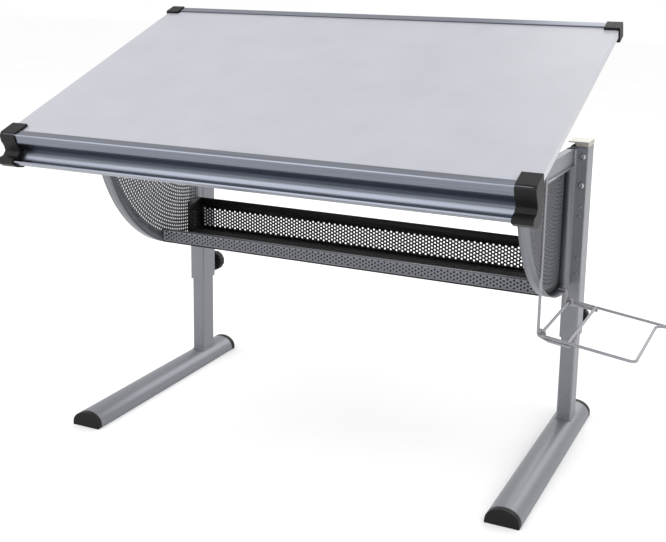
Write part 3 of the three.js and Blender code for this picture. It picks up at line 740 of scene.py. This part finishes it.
def knobs():
    for side, sign in SIDES.items():
        low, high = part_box(f"{side}_height_knob")
        start = ((low.x + high.x) / 2, low.y, (low.z + high.z) / 2)
        node = f"{side}_height_knob"
        body = f"{side}_height_clamp"
        fluted_knob(f"{side}_height_grip", node, body, (0, 1, 0), start, 25, 22, 8, 12)
        low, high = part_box(f"{side}_tilt_knob")
        x = high.x if sign > 0 else low.x
        start = (x, (low.y + high.y) / 2, (low.z + high.z) / 2)
        node = f"{side}_tilt_knob"
        body = f"{side}_tilt_clamp"
        fluted_knob(f"{side}_tilt_grip", node, body, (-sign, 0, 0), start, 17, 13, 5, 10)


def pan_head_bolt(name, body, direction, seat, radius_mm, height_mm, material, replaces=()):
    """A pan head with a hexagon socket, on a short shank."""
    profile = [
        (0, -2),
        (radius_mm * 0.55, -2),
        (radius_mm * 0.55, 0),
        (radius_mm * 0.97, 0),
        (radius_mm, height_mm * 0.25),
        (radius_mm * 0.94, height_mm * 0.6),
        (radius_mm * 0.72, height_mm * 0.92),
        (radius_mm * 0.46, height_mm),
        (radius_mm * 0.4, height_mm),
        (radius_mm * 0.4, height_mm * 0.35),
        (0, height_mm * 0.3),
    ]
    bm = turned(profile, axis_along(direction, seat), 24)
    add_piece(name, bm, body, [material], replaces, 30)


def mount_bolts():
    for side in SIDES:
        for index in (1, 2):
            node = f"{side}_mount_bolt_{index}"
            low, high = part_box(node)
            seat = ((low.x + high.x) / 2, low.y + 4.5 * MM, (low.z + high.z) / 2)
            pan_head_bolt(f"{node}_head", "frame", (0, -1, 0), seat, 6.5, 4.4, zinc, [node])


def plate_rivets():
    """Small domed rivets down the mounting plate."""
    levels = {"upper": 518, "middle": 498, "lower": 406, "lowest": 371}
    for side, sign in SIDES.items():
        low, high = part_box(f"{side}_mount_plate")
        x = (low.x + high.x) / 2 + sign * 9 * MM
        for name, level in levels.items():
            seat = (x, low.y, level * MM)
            rivet = f"{side}_{name}_rivet"
            pan_head_bolt(rivet, "frame", (0, -1, 0), seat, 3.6, 1.8, silver)


# ---- Wire rack, hangers and hook ----------------------------------------------------

wire = 3 * MM
rack_hinge = Vector(joints["rack_fold"]["pos_m"])
rack_droop = math.radians(7.4)
rack_low, rack_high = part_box("wire_rack")
eye_radius = 6.6 * MM


def rack_frame():
    """The rack's own frame: x outwards from its hinge rod, y across."""
    return Matrix.Translation((rack_hinge.x, 0, rack_hinge.z)) @ Matrix.Rotation(rack_droop, 4, "Y")


def wire_rack():
    front = rack_low.y + wire
    rear = rack_high.y - wire
    reach = 184 * MM
    tip = 212 * MM
    cross = 55 * MM
    beside = rear - 1.9 * wire
    bm = bmesh.new()
    wire_mesh(bm, [(tip, rear, 0), (0, rear, 0), (0, front, 0), (reach * 0.6, front, 0)], wire, 8 * MM)
    wire_mesh(
        bm,
        [(reach * 0.6, front, 0), (reach, front, 0), (reach, beside - 26 * MM, 0)],
        wire,
        12 * MM,
    )
    wire_mesh(
        bm,
        [(reach, beside - 30 * MM, 0), (reach, beside, 0), (tip, beside, 0)],
        wire,
        22 * MM,
    )
    wire_mesh(bm, [(cross, front, 0), (cross, rear, 0)], wire, wire)
    bm.transform(rack_frame())
    add_piece("rack_wires", bm, "rack", [wire_silver], ["wire_rack"], 60)


def eye_and_tail(bm, y, rod_y):
    """A ring round the hinge rod, and the tail below the end rod that stops the rack."""
    turn = Matrix.Translation((rack_hinge.x, y, rack_hinge.z)) @ Matrix.Rotation(math.pi / 2, 4, "X")
    ring = bmesh.new()
    section = bmesh.ops.create_circle(
        ring,
        cap_ends=False,
        radius=wire,
        segments=12,
        matrix=Matrix.Translation((eye_radius, 0, 0)) @ Matrix.Rotation(math.pi / 2, 4, "X"),
    )
    bmesh.ops.spin(
        ring,
        geom=section["verts"] + ring.edges[:],
        cent=(0, 0, 0),
        axis=(0, 0, 1),
        angle=math.tau,
        steps=24,
        use_merge=True,
    )
    bmesh.ops.remove_doubles(ring, verts=ring.verts, dist=0.001 * MM)
    bmesh.ops.recalc_face_normals(ring, faces=ring.faces)
    ring.transform(turn)
    mesh = bpy.data.meshes.new("ring")
    ring.to_mesh(mesh)
    ring.free()
    bm.from_mesh(mesh)
    bpy.data.meshes.remove(mesh)
    lie = rack_frame()
    tail = [
        lie @ Vector((0, y, -eye_radius)),
        lie @ Vector((18 * MM, rod_y, -eye_radius)),
        lie @ Vector((60 * MM, rod_y, -eye_radius)),
    ]
    wire_mesh(bm, tail, wire, 4 * MM)


def hangers():
    x = rack_hinge.x - eye_radius
    low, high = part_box("rack_front_hanger")
    rod_y = rack_low.y + wire
    y = rod_y + 12 * MM
    over = high.z - wire
    inner = low.x + wire
    bm = bmesh.new()
    eye_and_tail(bm, y, rod_y)
    path = [(x, y, rack_hinge.z), (x, y, over), (inner, y, over), (inner, y, over - 14 * MM)]
    wire_mesh(bm, path, wire, 5 * MM)
    add_piece("front_hanger_wire", bm, "frame", [wire_silver], ["rack_front_hanger"], 60)
    low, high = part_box("rack_rear_hanger")
    rod_y = rack_high.y - wire
    y = rod_y - 12 * MM
    over = high.z - wire
    bm = bmesh.new()
    eye_and_tail(bm, y, rod_y)
    wire_mesh(bm, [(x, y, rack_hinge.z), (x, y, over), (low.x + wire, y, over)], wire, 5 * MM)
    add_piece("rear_hanger_wire", bm, "frame", [wire_silver], ["rack_rear_hanger"], 60)


def cord_hook():
    low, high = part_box("cord_hook")
    radius = 1.6 * MM
    x = (low.x + high.x) / 2
    top = high.z - radius
    reach = high.y - radius
    path = [
        (x, low.y, top),
        (x, reach, top - 2 * MM),
        (x, reach, top - 20 * MM),
        (x, low.y + 5 * MM, low.z + radius),
    ]
    bm = bmesh.new()
    wire_mesh(bm, path, radius, 5 * MM, 8)
    add_piece("hook_wire", bm, "frame", [zinc], ["cord_hook"], 60)


# ---- Weld beads ---------------------------------------------------------------------


def weld_beads():
    """A bead round the foot of each lower post, where it is coped over the arched foot."""
    post_half_width = 16 * MM
    post_half_depth = 25 * MM
    bead = 1.9 * MM
    for side in SIDES:
        foot_low, foot_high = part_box(f"{side}_foot")
        low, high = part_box(f"{side}_lower_post")
        x = (low.x + high.x) / 2
        y = (low.y + high.y) / 2
        half_width = (foot_high.x - foot_low.x) / 2
        side_height = 7 * MM
        arch = foot_high.z - foot_low.z - side_height
        steps = 8

        def on_foot(dx, dy):
            level = side_height + arch * math.sqrt(1 - (dx / half_width) ** 2)
            return (x + dx, y + dy, level + bead * 0.3)

        across = [post_half_width * (2 * i / steps - 1) for i in range(steps + 1)]
        front = [on_foot(dx, -post_half_depth) for dx in across]
        rear = [on_foot(-dx, post_half_depth) for dx in across]
        start = on_foot(-post_half_width, 0)
        bm = bmesh.new()
        wire_mesh(bm, [start, *front, *rear, start], bead, 0.4 * MM)
        add_piece(f"{side}_foot_weld", bm, f"{side}_base", [silver], (), 60)


# ---- CAD nodes that keep their shape, with eased edges ------------------------------


def eased_nodes():
    for side in SIDES:
        base = f"{side}_base"
        eased(f"{side}_foot", 0.5, base, silver)
        eased(f"{side}_foot_front_cap", 1.6, base, black_plastic, 3)
        eased(f"{side}_foot_rear_cap", 1.6, base, black_plastic, 3)
        eased(f"{side}_lower_post", 0.4, base, silver)
        for name in ("upper_post", "side_upright", "mount_plate", "top_rail"):
            eased(f"{side}_{name}", 0.4, "frame", silver)
        eased(f"{side}_guide_bush", 0.4, "frame", nylon)
        eased(f"{side}_rest_plate", 0.5, "frame", galvanised)
        eased(f"{side}_weld_nut", 0.5, "frame", zinc)
        eased(f"{side}_tilt_spacer", 0.3, "frame", zinc)
        eased(f"{side}_height_stud", 0.4, f"{side}_height_clamp", zinc)
        eased(f"{side}_tilt_stud", 0.4, f"{side}_tilt_clamp", zinc)
        eased(f"{side}_tilt_stay", 0.4, f"{side}_stay", zinc)
        eased(f"{side}_stay_pin", 0.4, f"{side}_stay", zinc)
        eased(f"{side}_hinge_pin", 0.5, "board", zinc)
        eased(f"{side}_board_bearer", 0.4, "board", silver)
        eased(f"{side}_front_corner_cap", 1.4, "board", black_plastic, 3)
        eased(f"{side}_rear_corner_cap", 1.4, "board", black_plastic, 3)
    eased("rear_rail", 0.5, "board", aluminium)


# ---- Floor, light and camera --------------------------------------------------------


def studio():
    bm = bmesh.new()
    bmesh.ops.create_grid(bm, x_segments=1, y_segments=1, size=14)
    mesh = bpy.data.meshes.new("studio floor")
    bm.to_mesh(mesh)
    bm.free()
    floor_paint, tree, shader = new_material("matt studio floor paint", {"IOR": 1.45, "Roughness": 0.8})
    tint(tree, shader, grain(tree, 400, 2), "#FBFBFB", "#FDFDFD")
    mesh.materials.append(floor_paint)
    floor = bpy.data.objects.new("studio_floor", mesh)
    bpy.context.scene.collection.objects.link(floor)
    floor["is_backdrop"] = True
    world = bpy.data.worlds.new("studio sky")
    world.use_nodes = True
    background = world.node_tree.nodes["Background"]
    background.inputs["Color"].default_value = colour("#FFFFFF")
    background.inputs["Strength"].default_value = 1.0
    bpy.context.scene.world = world
    bpy.context.scene.view_settings.view_transform = "Standard"
    soft_lights = {
        "key": ((-1.6, -2.4, 3.2), 3.0, 66),
        "fill": ((3.4, -2.2, 1.8), 2.4, 26),
        "rear": ((0.6, 3.2, 2.6), 2.4, 45),
    }
    aim = Vector((0, 0, 0.5))
    for name, (place, size, power) in soft_lights.items():
        lamp = bpy.data.lights.new(f"{name}_light", "AREA")
        lamp.size = size
        lamp.energy = power
        holder = bpy.data.objects.new(f"{name}_light", lamp)
        holder.location = place
        holder.rotation_euler = (aim - Vector(place)).to_track_quat("-Z", "Y").to_euler()
        bpy.context.scene.collection.objects.link(holder)


def camera():
    lens_ratio = 1077 / 666
    azimuth = math.radians(25.36)
    pitch = math.radians(11.5)
    roll = math.radians(0.88)
    data = bpy.data.cameras.new("camera")
    data.sensor_width = 36
    data.lens = 36 * lens_ratio
    data.shift_y = -0.129
    data.clip_end = 100
    holder = bpy.data.objects.new("camera", data)
    holder.location = (0.8965, -2.0075, 1.0135)
    forward = Vector(
        (-math.sin(azimuth) * math.cos(pitch), math.cos(azimuth) * math.cos(pitch), -math.sin(pitch))
    )
    level = Vector((math.cos(azimuth), math.sin(azimuth), 0))
    above = level.cross(forward)
    right = level * math.cos(roll) + above * math.sin(roll)
    up = above * math.cos(roll) - level * math.sin(roll)
    holder.rotation_mode = "QUATERNION"
    holder.rotation_quaternion = Matrix((right, up, -forward)).transposed().to_quaternion()
    bpy.context.scene.collection.objects.link(holder)
    bpy.context.scene.camera = holder


camera()
studio()
board()
pencil_rail()
side_panels()
tray()
fascia()
knobs()
mount_bolts()
plate_rivets()
wire_rack()
hangers()
cord_hook()
weld_beads()
eased_nodes()

visual_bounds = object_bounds()
boxes = {"cad": cad_bounds, "visual": visual_bounds}
{name: [list(low), list(high)] for name, (low, high) in boxes.items()}
